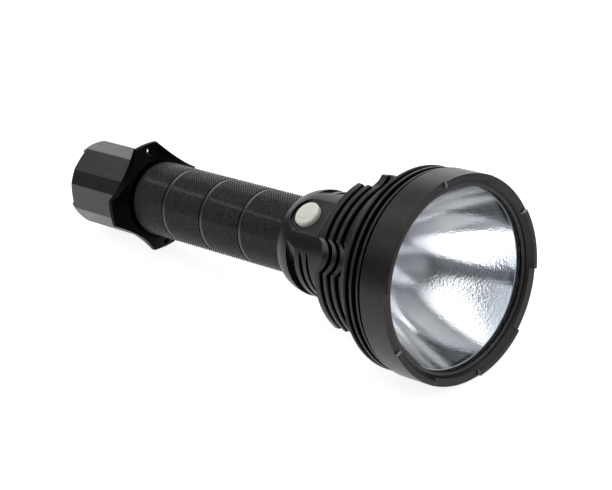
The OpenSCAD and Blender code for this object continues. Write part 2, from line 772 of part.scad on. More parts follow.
module tail_cap() color([0.12, 0.12, 0.125]) laid() difference() {
    intersection() {
        translate([cap_back, 0, 0]) rotate([0, 90, 0]) linear_extrude(cap_len) polygon(cap_plan());
        turned() polygon(concat(
            [[0, cap_front], [cap_ridge_r - cap_front_bevel, cap_front],
                [cap_ridge_r + past, cap_front - cap_front_bevel]],
            [for (k = [0:arc_steps]) let (a = quarter(k, arc_steps))
                [cap_ridge_r + seat_fit - cap_round_r*(1 - cos(a)), cap_back + cap_round_len*(1 - sin(a))]],
            [[0, cap_back]]));
    }
    turned() polygon([[0, cap_front + past], [tail_bore_r, cap_front + past], [tail_bore_r, tail_lock_back],
        [disc_r + run_fit, tail_lock_back], [disc_r + run_fit, disc_back], [0, disc_back]]);
    rod(cap_back + cap_hollow, cap_back - past, cap_hollow_r);
    copies(cap_flats, cap_turn) cap_notch_cut();
}

// Sector of the tail rim that is set back and rounded more than the feet beside it
module cap_notch_cut() {
    reach = cap_ridge_r + past;
    inner = cap_hollow_r/2;
    floor_x = cap_back + cap_notch;
    difference() {
        translate([cap_back - past, 0, 0]) rotate([0, 90, 0])
            linear_extrude(cap_notch + notch_round_len + past)
                polygon([[-inner, -inner*tan(cap_notch_half)], [-reach, -reach*tan(cap_notch_half)],
                    [-reach, reach*tan(cap_notch_half)], [-inner, inner*tan(cap_notch_half)]]);
        turned() polygon(concat([[0, floor_x + notch_round_len + past],
                [cap_ridge_r + past, floor_x + notch_round_len + past]],
            [for (k = [0:arc_steps]) let (a = quarter(k, arc_steps))
                [cap_ridge_r + past - (notch_round_r + past)*(1 - cos(a)),
                    floor_x + notch_round_len*(1 - sin(a))]],
            [[0, floor_x]]));
    }
}

module tail_contact_disc() color([0.8, 0.68, 0.35]) laid() rod(disc_front, disc_back + disc_seat, disc_r);

module tail_spring() color([0.8, 0.68, 0.35]) laid()
    coil(cell_back_x - spring_wire_r - spring_tip_gap, disc_front + spring_wire_r, tail_spring_tip_r,
        tail_spring_r, spring_wire_r, spring_turns);

module tail_lock_ring() color([0.72, 0.56, 0.26]) laid() difference() {
    ring(tail_lock_front, tail_lock_back, tail_lock_r, disc_r - tail_lock_w);
    for (side = [-1, 1]) translate([0, side*(disc_r - tail_lock_w), 0])
        rod(tail_lock_front + past, disc_front - past, spanner_r);
}

bezel_ring();
bezel_seal();
lens();
lens_seal();
reflector();
reflector_insulator();
led_post();
led_board();
led_emitter();
led_dome();
led_board_screws();
led_leads();
head_body();
driver_board();
driver_components();
driver_lock_ring();
front_spring();
switch_button();
switch_lock_ring();
switch_stem();
tactile_switch();
switch_board();
switch_leads();
battery_tube();
tube_front_seal();
tube_rear_seal();
cell_front();
cell_rear();
cell_terminals();
tail_ring();
tail_cap();
tail_spring();
tail_contact_disc();
tail_lock_ring();
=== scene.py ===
# Looks of a large handheld flashlight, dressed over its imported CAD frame
import json
import math

import bpy
from mathutils import Matrix, Vector, noise


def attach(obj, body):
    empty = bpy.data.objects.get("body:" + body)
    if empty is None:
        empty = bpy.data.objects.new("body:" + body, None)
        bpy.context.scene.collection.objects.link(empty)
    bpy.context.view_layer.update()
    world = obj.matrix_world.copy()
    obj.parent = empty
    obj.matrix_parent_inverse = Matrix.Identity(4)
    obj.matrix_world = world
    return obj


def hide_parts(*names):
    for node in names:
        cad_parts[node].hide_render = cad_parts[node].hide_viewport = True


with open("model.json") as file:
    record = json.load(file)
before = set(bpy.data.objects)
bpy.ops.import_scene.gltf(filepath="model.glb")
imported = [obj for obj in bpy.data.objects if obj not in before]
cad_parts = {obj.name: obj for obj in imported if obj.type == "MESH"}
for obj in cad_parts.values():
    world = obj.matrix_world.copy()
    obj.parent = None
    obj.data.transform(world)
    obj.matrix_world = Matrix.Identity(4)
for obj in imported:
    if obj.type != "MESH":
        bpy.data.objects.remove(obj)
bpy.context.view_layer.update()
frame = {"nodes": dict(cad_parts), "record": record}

# Axis frame: station along the beam in millimetres from the crown, radius, angle from up towards +Y
MM = 0.001
BAND_STATION = -8.4
mounts = {mount["name"]: mount for mount in frame["record"]["mounts"]}
BEAM = Vector(mounts["bezel_band"]["axis"]).normalized()
SIDE = Vector((0, 1, 0))
RISE = BEAM.cross(SIDE)
CROWN = Vector(mounts["bezel_band"]["pos_m"]) - BEAM * BAND_STATION * MM
SLOPE = math.atan2(BEAM.z, BEAM.x)


def spot(station, radius, angle):
    """A point of the axis frame in metres."""
    turn = math.radians(angle)
    out = SIDE * math.sin(turn) + RISE * math.cos(turn)
    return CROWN + (BEAM * station + out * radius) * MM


def survey(node):
    """Stations and radii of a CAD node's vertices in millimetres."""
    found = []
    for vertex in frame["nodes"][node].data.vertices:
        away = (vertex.co - CROWN) / MM
        station = away.dot(BEAM)
        found.append((station, (away - BEAM * station).length))
    return found


def ends(node):
    """Rear and front station of a CAD node."""
    stations = [x for x, r in survey(node)]
    return min(stations), max(stations)


def middles(stations, gap):
    """Middles of the runs of stations that lie closer together than a gap, front first."""
    runs = []
    for x in sorted(stations, reverse=True):
        if runs and runs[-1][-1] - x < gap:
            runs[-1].append(x)
        else:
            runs.append([x])
    return [(run[0] + run[-1]) / 2 for run in runs]


# Battery tube, read from its CAD node, in millimetres
NEAR = 0.05
SEAL_CLEAR = 1
THREAD_CLEAR = 2
GRIP_CLEAR = 5
GRIP_GAP = 2.8
GRIP_GAP_DEPTH = 0.6
RING_GAP = 0.3
tube = survey("battery_tube")
TUBE_BACK, TUBE_FRONT = ends("battery_tube")
TUBE_R = max(r for x, r in tube)
TUBE_BORE_R = min(r for x, r in tube)
NECK_BACK = ends("head_body")[0]
FRONT_SEAL = sum(ends("tube_front_seal")) / 2
REAR_SEAL = sum(ends("tube_rear_seal")) / 2
FRONT_THREAD_R = max(r for x, r in tube if x > TUBE_FRONT - NEAR)
FRONT_STEP = min(x for x, r in tube if x > FRONT_SEAL + SEAL_CLEAR and abs(r - FRONT_THREAD_R) < NEAR)
TUBE_SHOULDER = ends("tail_ring")[1] + RING_GAP
REAR_THREAD_R = max(r for x, r in tube if x < REAR_SEAL - THREAD_CLEAR)
GROOVE_R = TUBE_R - GRIP_GAP_DEPTH
GRIP_GROOVES = middles([x for x, r in tube
                        if TUBE_SHOULDER + GRIP_CLEAR < x < NECK_BACK - GRIP_CLEAR
                        and abs(r - GROOVE_R) < NEAR], 2 * GRIP_GAP)

# Reflector, read from its CAD node, in millimetres, with the mirror skin run out over part of the rim
SKIN_OVER = 0.6
DISH_WALL = 1.6
MIRROR_WALL = DISH_WALL - SKIN_OVER
dish = survey("reflector")
MIRROR_BACK, MIRROR_FRONT = ends("reflector")
MIRROR_R = min(r for x, r in dish if x > MIRROR_FRONT - NEAR) + SKIN_OVER
MIRROR_HOLE_R = min(r for x, r in dish)
FLANGE_R = max(r for x, r in dish)
FLANGE_BACK = min(x for x, r in dish if r > FLANGE_R - NEAR)
SHELL_R = min(r for x, r in survey("lens_seal"))
FOCAL = (MIRROR_R**2 - MIRROR_HOLE_R**2) / (4 * (MIRROR_FRONT - MIRROR_BACK))
VERTEX = MIRROR_BACK - MIRROR_HOLE_R**2 / (4 * FOCAL)


# Mesh helpers
def object_from(name, points, faces, sharp=32):
    """A smooth mesh object with sharp edges above an angle."""
    mesh = bpy.data.meshes.new(name)
    mesh.from_pydata(points, [], faces)
    mesh.validate()
    mesh.update()
    mesh.shade_smooth()
    mesh.set_sharp_from_angle(angle=math.radians(sharp))
    made = bpy.data.objects.new(name, mesh)
    bpy.context.scene.collection.objects.link(made)
    return made


def rings_to_faces(rings, around):
    """Quads between neighbouring rings of vertices, with the last ring joined to the first."""
    faces = []
    for i in range(rings):
        here = i * around
        there = (i + 1) % rings * around
        for j in range(around):
            k = (j + 1) % around
            faces.append((here + j, here + k, there + k, there + j))
    return faces


def stand_in(made, body, node, looks):
    """Dress a piece, let it ride on a body and put it in the place of a CAD node."""
    for look in looks:
        made.data.materials.append(look)
    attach(made, body)
    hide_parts(node)


# Node helpers
def new_material(name):
    """A material with its node tree and its shader."""
    made = bpy.data.materials.new(name)
    made.use_nodes = True
    return made, made.node_tree, made.node_tree.nodes["Principled BSDF"]


def add(tree, kind, values=None, **settings):
    """A node with its settings and its inputs' values."""
    made = tree.nodes.new(kind)
    for key, value in settings.items():
        setattr(made, key, value)
    for key, value in (values or {}).items():
        made.inputs[key].default_value = value
    return made


def beam_coordinates(tree):
    """Object coordinates turned so that X runs along the beam."""
    place = add(tree, "ShaderNodeTexCoord")
    turn = add(tree, "ShaderNodeMapping", {"Rotation": (0, SLOPE, 0)})
    tree.links.new(place.outputs["Object"], turn.inputs["Vector"])
    return turn.outputs["Vector"]


def noise_at(tree, where, scale, detail=3.0, rough=0.55):
    """Noise at the given coordinates."""
    made = add(tree, "ShaderNodeTexNoise", {"Scale": scale, "Detail": detail, "Roughness": rough})
    tree.links.new(where, made.inputs["Vector"])
    return made.outputs["Fac"]


def ramp(tree, factor, stops):
    """A colour ramp of (position, colour) stops."""
    made = add(tree, "ShaderNodeValToRGB")
    band = made.color_ramp
    while len(band.elements) < len(stops):
        band.elements.new(0.5)
    for element, (position, colour) in zip(band.elements, stops):
        element.position = position
        element.color = (*colour, 1)
    tree.links.new(factor, made.inputs["Fac"])
    return made.outputs["Color"]


def spread(tree, factor, low, high, start=0.3, end=0.7):
    """A factor mapped from one range of values to another."""
    made = add(tree, "ShaderNodeMapRange",
               {"From Min": start, "From Max": end, "To Min": low, "To Max": high})
    tree.links.new(factor, made.inputs["Value"])
    return made.outputs["Result"]


def product(tree, first, second):
    """Two values multiplied."""
    made = add(tree, "ShaderNodeMath", operation="MULTIPLY")
    tree.links.new(first, made.inputs[0])
    tree.links.new(second, made.inputs[1])
    return made.outputs[0]


def mixed(tree, factor, first, second):
    """A colour output mixed with another colour by a factor."""
    made = add(tree, "ShaderNodeMix", {7: (*second, 1)}, data_type="RGBA")
    tree.links.new(factor, made.inputs["Factor"])
    tree.links.new(first, made.inputs[6])
    return made.outputs[2]


def bumped(tree, height, distance, strength=1.0, under=None):
    """A bump normal over another normal."""
    made = add(tree, "ShaderNodeBump", {"Distance": distance, "Strength": strength})
    tree.links.new(height, made.inputs["Height"])
    if under is not None:
        tree.links.new(under, made.inputs["Normal"])
    return made.outputs["Normal"]


def turning_lines(tree, where, scale, distortion):
    """Fine lines across the beam, as left by a lathe."""
    made = add(tree, "ShaderNodeTexWave", {"Scale": scale, "Distortion": distortion, "Detail": 1.0},
               wave_type="BANDS", bands_direction="X")
    tree.links.new(where, made.inputs["Vector"])
    return made.outputs["Fac"]


EDGE_SPAN = (0.80, 0.98)
PAINTED_SHADE_SPAN = (0.30, 0.78)
STEP_SPAN = (0.5, 0.9)
MASK_SAMPLES = 6


def edge_mask(tree, radius):
    """One at convex edges and zero on flat ground, with the softened normal."""
    soft = add(tree, "ShaderNodeBevel", {"Radius": radius}, samples=MASK_SAMPLES)
    flat = add(tree, "ShaderNodeNewGeometry")
    same = add(tree, "ShaderNodeVectorMath", operation="DOT_PRODUCT")
    tree.links.new(soft.outputs["Normal"], same.inputs[0])
    tree.links.new(flat.outputs["Normal"], same.inputs[1])
    return spread(tree, same.outputs["Value"], 1.0, 0.0, *EDGE_SPAN), soft.outputs["Normal"]


def painted_shade_mask(tree, distance):
    """Painted shade from ambient occlusion: one in the bottom of a groove and zero on open ground."""
    made = add(tree, "ShaderNodeAmbientOcclusion", {"Distance": distance}, samples=MASK_SAMPLES)
    return spread(tree, made.outputs["AO"], 1.0, 0.0, *PAINTED_SHADE_SPAN)


def away_from_beam(tree):
    """Unit vector from the axis of the beam out to the place."""
    place = add(tree, "ShaderNodeTexCoord")
    reach = add(tree, "ShaderNodeVectorMath", {1: CROWN}, operation="SUBTRACT")
    tree.links.new(place.outputs["Object"], reach.inputs[0])
    along = add(tree, "ShaderNodeVectorMath", {1: BEAM}, operation="PROJECT")
    tree.links.new(reach.outputs["Vector"], along.inputs[0])
    out = add(tree, "ShaderNodeVectorMath", operation="SUBTRACT")
    tree.links.new(reach.outputs["Vector"], out.inputs[0])
    tree.links.new(along.outputs["Vector"], out.inputs[1])
    unit = add(tree, "ShaderNodeVectorMath", operation="NORMALIZE")
    tree.links.new(out.outputs["Vector"], unit.inputs[0])
    return unit.outputs["Vector"]


def step_highlight_mask(tree):
    """One on faces that look around the beam, such as the ends of the crown's teeth, which get a painted
    highlight.
    """
    turn = add(tree, "ShaderNodeVectorMath", {0: BEAM}, operation="CROSS_PRODUCT")
    tree.links.new(away_from_beam(tree), turn.inputs[1])
    flat = add(tree, "ShaderNodeNewGeometry")
    facing = add(tree, "ShaderNodeVectorMath", operation="DOT_PRODUCT")
    tree.links.new(turn.outputs["Vector"], facing.inputs[0])
    tree.links.new(flat.outputs["Normal"], facing.inputs[1])
    size = add(tree, "ShaderNodeMath", operation="ABSOLUTE")
    tree.links.new(facing.outputs["Value"], size.inputs[0])
    return spread(tree, size.outputs[0], 0.0, 1.0, *STEP_SPAN)


# Materials
# Colour of the painted shade in grooves and recesses.
PAINTED_SHADE_BLACK = (0.001, 0.001, 0.001)
WARM_GLOSS = (1.0, 0.93, 0.91, 1)
PAINTED_SHADE_SHINE = 0.03
COAT_ROUGHNESS = 0.09
MOTTLE_SCALE = 90
WEAR_AND_HIGHLIGHT_SCALE = 420
WEAR_AND_HIGHLIGHT_LEAST = 0.35
GLOSS_SCALE = 260
GRAIN_SCALE = 5200
GRAIN_DEPTH = 0.00002
LATHE_SCALE = 900
LATHE_WAVER = 1.2
LATHE_STRENGTH = 0.2
LATHE_DEPTH = 0.00001


def anodised(name, dark, light, rough, wear_and_highlight_colour, shade_reach=0.004, grain=0.5, edge=0.0003, shine=0.3,
             step_highlight_colour=None, coat=0.0):
    """Anodised aluminium: blasted grain, turning lines, painted shade in hollows, pale edges that are
    partly wear and partly painted highlight, maybe painted highlights on step faces and maybe a coat.
    """
    made, tree, shader = new_material(name)
    where = beam_coordinates(tree)
    mottle = ramp(tree, noise_at(tree, where, MOTTLE_SCALE, 4), ((0.3, dark), (0.7, light)))
    mask, soft = edge_mask(tree, edge)
    # Pale edges, partly wear and partly painted highlight.
    wear_and_highlight = product(tree, mask, spread(tree, noise_at(tree, where, WEAR_AND_HIGHLIGHT_SCALE), WEAR_AND_HIGHLIGHT_LEAST, 1.0))
    # Painted shade: ambient occlusion turns the colour black and takes out most of the reflection in
    # grooves and recesses.
    painted_shade = painted_shade_mask(tree, shade_reach)
    colour = mixed(tree, painted_shade, mixed(tree, wear_and_highlight, mottle, wear_and_highlight_colour), PAINTED_SHADE_BLACK)
    # Painted highlight on faces that look around the beam, such as the ends of the crown's teeth.
    if step_highlight_colour is not None:
        colour = mixed(tree, step_highlight_mask(tree), colour, step_highlight_colour)
    tree.links.new(colour, shader.inputs["Base Color"])
    uneven = spread(tree, noise_at(tree, where, GLOSS_SCALE, 4), rough - 0.04, rough + 0.05)
    tree.links.new(uneven, shader.inputs["Roughness"])
    tree.links.new(spread(tree, painted_shade, shine, PAINTED_SHADE_SHINE, 0.0, 1.0), shader.inputs["Specular IOR Level"])
    shader.inputs["Specular Tint"].default_value = WARM_GLOSS
    blasted = bumped(tree, noise_at(tree, where, GRAIN_SCALE, 2), GRAIN_DEPTH, grain, soft)
    lines = turning_lines(tree, where, LATHE_SCALE, LATHE_WAVER)
    turned = bumped(tree, lines, LATHE_DEPTH, LATHE_STRENGTH, blasted)
    tree.links.new(turned, shader.inputs["Normal"])
    if coat > 0:
        shader.inputs["Coat Weight"].default_value = coat
        shader.inputs["Coat Roughness"].default_value = COAT_ROUGHNESS
        tree.links.new(away_from_beam(tree), shader.inputs["Coat Normal"])
    return made


SHEEN_SCALE = 500
SKIN_SCALE = 3200


def skinned(name, colour, other, rough, scale=320, skin=0.4):
    """Moulded rubber, plastic or lacquer with a little mottling and a fine skin."""
    made, tree, shader = new_material(name)
    where = beam_coordinates(tree)
    tree.links.new(ramp(tree, noise_at(tree, where, scale, 4), ((0.35, colour), (0.7, other))),
                   shader.inputs["Base Color"])
    uneven = spread(tree, noise_at(tree, where, SHEEN_SCALE), rough - 0.05, rough + 0.08)
    tree.links.new(uneven, shader.inputs["Roughness"])
    fine = bumped(tree, noise_at(tree, where, SKIN_SCALE), GRAIN_DEPTH, skin)
    tree.links.new(fine, shader.inputs["Normal"])
    return made, shader


def moulded(name, colour, rough, gain=1.12):
    """A skinned material whose second colour is a little lighter than its first."""
    return skinned(name, colour, tuple(min(1.0, c * gain) for c in colour), rough)[0]


TARNISH = 0.72
TARNISH_SCALE = 240
POLISH_SCALE = 700
TURNED_SCALE = 1500
TURNED_WAVER = 2.0
TURNED_STRENGTH = 0.3


def bare_metal(name, colour, rough):
    """Bare turned metal with fine lines and slight tarnish."""
    made, tree, shader = new_material(name)
    where = beam_coordinates(tree)
    dull = tuple(c * TARNISH for c in colour)
    tree.links.new(ramp(tree, noise_at(tree, where, TARNISH_SCALE, 5), ((0.35, dull), (0.65, colour))),
                   shader.inputs["Base Color"])
    uneven = spread(tree, noise_at(tree, where, POLISH_SCALE), rough - 0.06, rough + 0.1)
    tree.links.new(uneven, shader.inputs["Roughness"])
    lines = turning_lines(tree, where, TURNED_SCALE, TURNED_WAVER)
    turned = bumped(tree, lines, LATHE_DEPTH, TURNED_STRENGTH)
    tree.links.new(turned, shader.inputs["Normal"])
    shader.inputs["Metallic"].default_value = 1.0
    return made


MIRROR_TINT = ((0.3, (0.95, 0.952, 0.96)), (0.7, (0.97, 0.972, 0.978)))
# Painted shade at the mirror's base.
BASE_PAINTED_SHADE = (0.36, 0.368, 0.40)
BASE_START = 0.004
BASE_END = 0.020
MIRROR_ROUGH = 0.05
BASE_ROUGH = 0.22
CLOUD_SCALE = 120
DIMPLE_SCALE = 1500
DIMPLE_STRENGTH = 0.8
PEEL_BUMP = 0.00003


def mirror_skin(name):
    """Vacuum-coated aluminium with the finest dimples of an orange-peel reflector, rougher at its base and
    darkened there with painted shade.
    """
    made, tree, shader = new_material(name)
    where = beam_coordinates(tree)
    clean = ramp(tree, noise_at(tree, where, CLOUD_SCALE), MIRROR_TINT)
    parts = add(tree, "ShaderNodeSeparateXYZ")
    tree.links.new(where, parts.inputs["Vector"])
    base = BEAM.dot(spot(MIRROR_BACK, 0, 0))
    # Painted shade: the mirror's colour darkens towards its base, where it is also rougher.
    base_shade_and_dull = spread(tree, parts.outputs["X"], 1.0, 0.0, base + BASE_START, base + BASE_END)
    tree.links.new(mixed(tree, base_shade_and_dull, clean, BASE_PAINTED_SHADE), shader.inputs["Base Color"])
    tree.links.new(spread(tree, base_shade_and_dull, MIRROR_ROUGH, BASE_ROUGH, 0.0, 1.0), shader.inputs["Roughness"])
    dimpled = bumped(tree, noise_at(tree, where, DIMPLE_SCALE, 1, 0.4), PEEL_BUMP, DIMPLE_STRENGTH)
    tree.links.new(dimpled, shader.inputs["Normal"])
    shader.inputs["Metallic"].default_value = 1.0
    return made


GLASS_CLEAR = (0.992, 0.995, 1.0, 1)
GLASS_GLOSS = (0.85, 0.92, 1.0, 1)
GLASS_IOR = 1.2
SMEAR_SCALE = 60


def clear_glass(name):
    """Coated lens glass that lets lamp light through, with faint smears in its gloss."""
    made, tree, shader = new_material(name)
    tree.nodes.remove(shader)
    where = beam_coordinates(tree)
    clear = add(tree, "ShaderNodeBsdfTransparent", {"Color": GLASS_CLEAR})
    gloss = add(tree, "ShaderNodeBsdfGlossy", {"Color": GLASS_GLOSS})
    smears = spread(tree, noise_at(tree, where, SMEAR_SCALE, 4), 0.01, 0.03)
    tree.links.new(smears, gloss.inputs["Roughness"])
    facing = add(tree, "ShaderNodeFresnel", {"IOR": GLASS_IOR})
    both = add(tree, "ShaderNodeMixShader")
    tree.links.new(facing.outputs["Fac"], both.inputs["Fac"])
    tree.links.new(clear.outputs["BSDF"], both.inputs[1])
    tree.links.new(gloss.outputs["BSDF"], both.inputs[2])
    tree.links.new(both.outputs["Shader"], tree.nodes["Material Output"].inputs["Surface"])
    return made


def silicone(name):
    """Pale translucent silicone."""
    made, shader = skinned(name, (0.61, 0.62, 0.54), (0.69, 0.69, 0.60), 0.42, scale=260, skin=0.5)
    shader.inputs["Subsurface Weight"].default_value = 0.35
    shader.inputs["Subsurface Radius"].default_value = (0.9, 0.9, 0.7)
    shader.inputs["Subsurface Scale"].default_value = 0.001
    return made


# Pale edge colour, partly wear and partly painted highlight.
EDGE_WEAR_AND_HIGHLIGHT = (0.36, 0.335, 0.325)
BODY_DARK = (0.009, 0.0076, 0.0076)
BODY_LIGHT = (0.014, 0.0121, 0.0121)
BODY_ROUGH = 0.31
LOOKS = {
    "black_anodised": anodised("black_anodised", BODY_DARK, BODY_LIGHT, BODY_ROUGH, EDGE_WEAR_AND_HIGHLIGHT),
    "black_anodised_grip": anodised(
        "black_anodised_grip", (0.0045, 0.0039, 0.0039), (0.007, 0.0062, 0.0062), 0.33,
        (0.27, 0.25, 0.245), shade_reach=0.0009, grain=0.1, edge=0.00012, shine=0.13, coat=0.14),
    "black_anodised_cap": anodised(
        "black_anodised_cap", (0.010, 0.0085, 0.0085), (0.015, 0.013, 0.013), 0.30, EDGE_WEAR_AND_HIGHLIGHT, shine=0.45),
    "gloss_black": anodised(
        "gloss_black", (0.0005, 0.0004, 0.0004), (0.0009, 0.0008, 0.0008), 0.28,
        (0.05, 0.046, 0.046), shine=0.03),
    "seal_rubber": skinned("seal_rubber", (0.006, 0.0055, 0.0055), (0.011, 0.010, 0.010), 0.36)[0],
    "lens_glass": clear_glass("lens_glass"),
    "reflector_skin": mirror_skin("reflector_skin"),
    "white_plastic": moulded("white_plastic", (0.75, 0.75, 0.72), 0.45),
    "copper": bare_metal("copper", (0.78, 0.42, 0.27), 0.3),
    "board_white": moulded("board_white", (0.76, 0.77, 0.77), 0.4),
    "emitter": moulded("emitter", (0.8, 0.62, 0.08), 0.5),
    "dome": moulded("dome", (0.85, 0.80, 0.55), 0.15),
    "steel": bare_metal("steel", (0.62, 0.62, 0.63), 0.3),
    "red_insulation": moulded("red_insulation", (0.42, 0.02, 0.015), 0.45),
    "yellow_insulation": moulded("yellow_insulation", (0.55, 0.38, 0.02), 0.45),
    "board_green": moulded("board_green", (0.02, 0.11, 0.04), 0.35, 1.3),
    "black_plastic": moulded("black_plastic", (0.015, 0.015, 0.017), 0.5, 1.6),
    "brass": bare_metal("brass", (0.75, 0.55, 0.24), 0.3),
    "gilt_spring": bare_metal("gilt_spring", (0.85, 0.66, 0.3), 0.25),
    "gilt_contact": bare_metal("gilt_contact", (0.85, 0.66, 0.3), 0.25),
    "pale_button": silicone("pale_button"),
    "switch_ring_black": anodised(
        "switch_ring_black", (0.010, 0.010, 0.010), (0.018, 0.017, 0.017), 0.34, (0.10, 0.095, 0.095)),
    "cell_wrap": moulded("cell_wrap", (0.03, 0.10, 0.30), 0.3),
    "cell_metal": bare_metal("cell_metal", (0.68, 0.68, 0.69), 0.3),
}
RIM_LOOK = moulded("reflector_rim", (0.93, 0.92, 0.90), 0.3)
# The bezel's step colour is a painted highlight on the ends of the crown's teeth.
BEZEL_LOOK = anodised("black_anodised_bezel", BODY_DARK, BODY_LIGHT, BODY_ROUGH,
                      (0.20, 0.185, 0.18), shade_reach=0.0002, edge=0.0002, step_highlight_colour=(0.34, 0.315, 0.31))
# The groove land's paler colour is painted sheen.
LAND_SHEEN_LOOK = anodised("grip_land_painted_sheen", (0.030, 0.027, 0.027), (0.045, 0.040, 0.040), 0.30,
                     EDGE_WEAR_AND_HIGHLIGHT, shade_reach=0.0003, grain=0.2, edge=0.0001)

slot_of = {row["node"]: row["material_slot"] for row in frame["record"]["subparts"]}
for node_name, node_object in frame["nodes"].items():
    node_look = BEZEL_LOOK if node_name == "bezel_ring" else LOOKS[slot_of[node_name]]
    node_object.data.materials.clear()
    node_object.data.materials.append(node_look)

# Battery tube with diamond knurling between plain grooves
KNURL_AROUND = 76
KNURL_ROW = 0.76
KNURL_DEPTH = 0.42
KNURL_RISE = 0.35
KNURL_INSET = 0.1
FRONT_BEVEL = 0.5
LAND_RISE = 0.1
SLIT = 0.8
SHOULDER_BAND = 0.9
SHOULDER_BEVEL = 0.5
SEAL_GROOVE = 1.6
SEAL_HALF = 0.85
THREAD_START = 1.8
THREAD_DEPTH = 0.55
THREAD_PITCH = 1.5
THREAD_CREST = 0.4
THREAD_FOOT = 0.8
THREAD_ROOT = 1.1
TAIL_BEVEL = 0.5
TAIL_BEVEL_DEPTH = 0.4
GRIP, LAND, SLOT = 0, 1, 2


def seal_groove_rows(station, radius):
    """Rings of a square groove for an O-ring."""
    return [(station + SEAL_HALF, radius, None), (station + SEAL_HALF, radius - SEAL_GROOVE, None),
            (station - SEAL_HALF, radius - SEAL_GROOVE, None), (station - SEAL_HALF, radius, None)]


def knurl_rows(start, end):
    """Rings of a knurled band as (station, radius, row of the lattice), with plain ends."""
    count = 2 * round((start - end) / KNURL_ROW / 2)
    step = (end - start) / count
    peak = TUBE_R + KNURL_RISE
    low = peak - KNURL_DEPTH
    inner = [(start + step * i, peak, i) for i in range(1, count)]
    return [(start, low, None), *inner, (end, low, None)]


def grip_rows():
    """Rings of the tube from its front end to its shoulder, with the first ring of each groove's land."""
    rows = [(TUBE_FRONT, FRONT_THREAD_R, None), (FRONT_STEP, FRONT_THREAD_R, None),
            (FRONT_STEP - FRONT_BEVEL, TUBE_R, None), *seal_groove_rows(FRONT_SEAL, TUBE_R)]
    start = NECK_BACK - KNURL_INSET
    rows.append((start, TUBE_R, None))
    lands = []
    for middle in GRIP_GROOVES:
        front = middle + GRIP_GAP / 2
        back = middle - GRIP_GAP / 2
        rows += knurl_rows(start, front)
        lands.append(len(rows))
        rows += [(front - LAND_RISE, TUBE_R + LAND_RISE, None), (back + SLIT, TUBE_R - LAND_RISE, None),
                 (back + SLIT, GROOVE_R - SLIT, None), (back, GROOVE_R - SLIT, None)]
        start = back
    rows += knurl_rows(start, TUBE_SHOULDER + SHOULDER_BAND)
    rows += [(TUBE_SHOULDER + SHOULDER_BEVEL, TUBE_R - KNURL_INSET, None),
             (TUBE_SHOULDER, TUBE_R - SHOULDER_BEVEL, None), (TUBE_SHOULDER, REAR_THREAD_R, None)]
    return rows, lands


def thread_rows():
    """Rings of the tube's journal, seal groove, thread and bore."""
    rows = seal_groove_rows(REAR_SEAL, REAR_THREAD_R)
    low = REAR_THREAD_R - THREAD_DEPTH
    x = REAR_SEAL - THREAD_START
    while x > TUBE_BACK + THREAD_PITCH:
        rows += [(x, REAR_THREAD_R, None), (x - THREAD_CREST, REAR_THREAD_R, None),
                 (x - THREAD_FOOT, low, None), (x - THREAD_ROOT, low, None)]
        x -= THREAD_PITCH
    rows += [(TUBE_BACK + TAIL_BEVEL, low, None), (TUBE_BACK, low - TAIL_BEVEL_DEPTH, None),
             (TUBE_BACK, TUBE_BORE_R, None), (TUBE_FRONT, TUBE_BORE_R, None)]
    return rows


def plain_look(ring, lands):
    """Which look a plain ring of the tube has: the grip, a groove's land, paler with painted sheen, and its
    slot, near black with painted shade.
    """
    if ring in lands:
        return LAND
    if {ring - 1, ring - 2, ring - 3} & set(lands):
        return SLOT
    return GRIP


def make_grip_tube():
    """Tube whose knurled bands are a lattice of peaks and pits, flat shaded."""
    rows, lands = grip_rows()
    rows += thread_rows()
    around = 2 * KNURL_AROUND
    points = []
    for station, radius, row in rows:
        for j in range(around):
            low = row is not None and (row + j) % 2 == 0
            points.append(spot(station, radius - (KNURL_DEPTH if low else 0), 360 * j / around))
    faces = []
    knurled = []
    looks = []
    for i, (a, b, c, d) in enumerate(rings_to_faces(len(rows), around)):
        row = rows[i // around][2]
        after = rows[(i // around + 1) % len(rows)][2]
        if row is None and after is None:
            faces.append((a, b, c, d))
            knurled.append(False)
            looks.append(plain_look(i // around, lands))
            continue
        lattice = row if row is not None else after - 1
        along = (lattice + i % around) % 2 == 0
        faces += ((a, b, c), (a, c, d)) if along else ((a, b, d), (b, c, d))
        knurled += [True, True]
        looks += [GRIP, GRIP]
    made = object_from("grip_tube", points, faces)
    made.data.polygons.foreach_set("use_smooth", [not flat for flat in knurled])
    # The slit faces take the near-black gloss look: painted shade for the groove's black line.
    tube_looks = [LOOKS["black_anodised_grip"], LAND_SHEEN_LOOK, LOOKS["gloss_black"]]
    stand_in(made, "housing", "battery_tube", tube_looks)
    made.data.polygons.foreach_set("material_index", looks)


# Reflector with a dimpled mirror skin and a pale rim
PEEL_AROUND = 480
PEEL_ROWS = 130
PEEL_CELL = 0.9
PEEL_DEPTH = 0.018
PEEL_FINE = 0.5
PEEL_FADE = 0.6
RIM_WIDTH = 0.5
SHELL_STEPS = 14
SHELL_INSET = 2
RIM, SEAL = 1, 2


def dish_station(radius):
    """Station of the mirror's paraboloid at a radius."""
    return VERTEX + radius**2 / (4 * FOCAL)


def dish_radius(station):
    """Radius of the mirror's paraboloid at a station."""
    return math.sqrt(4 * FOCAL * (station - VERTEX))


def peel(place, radius):
    """Height of the orange peel at a place, fading out at the rim."""
    coarse = noise.noise(place / (PEEL_CELL * MM))
    fine = noise.noise(place / (PEEL_FINE * PEEL_CELL * MM))
    return (coarse + PEEL_FINE * fine) * PEEL_DEPTH * min(1.0, (MIRROR_R - radius) / PEEL_FADE)


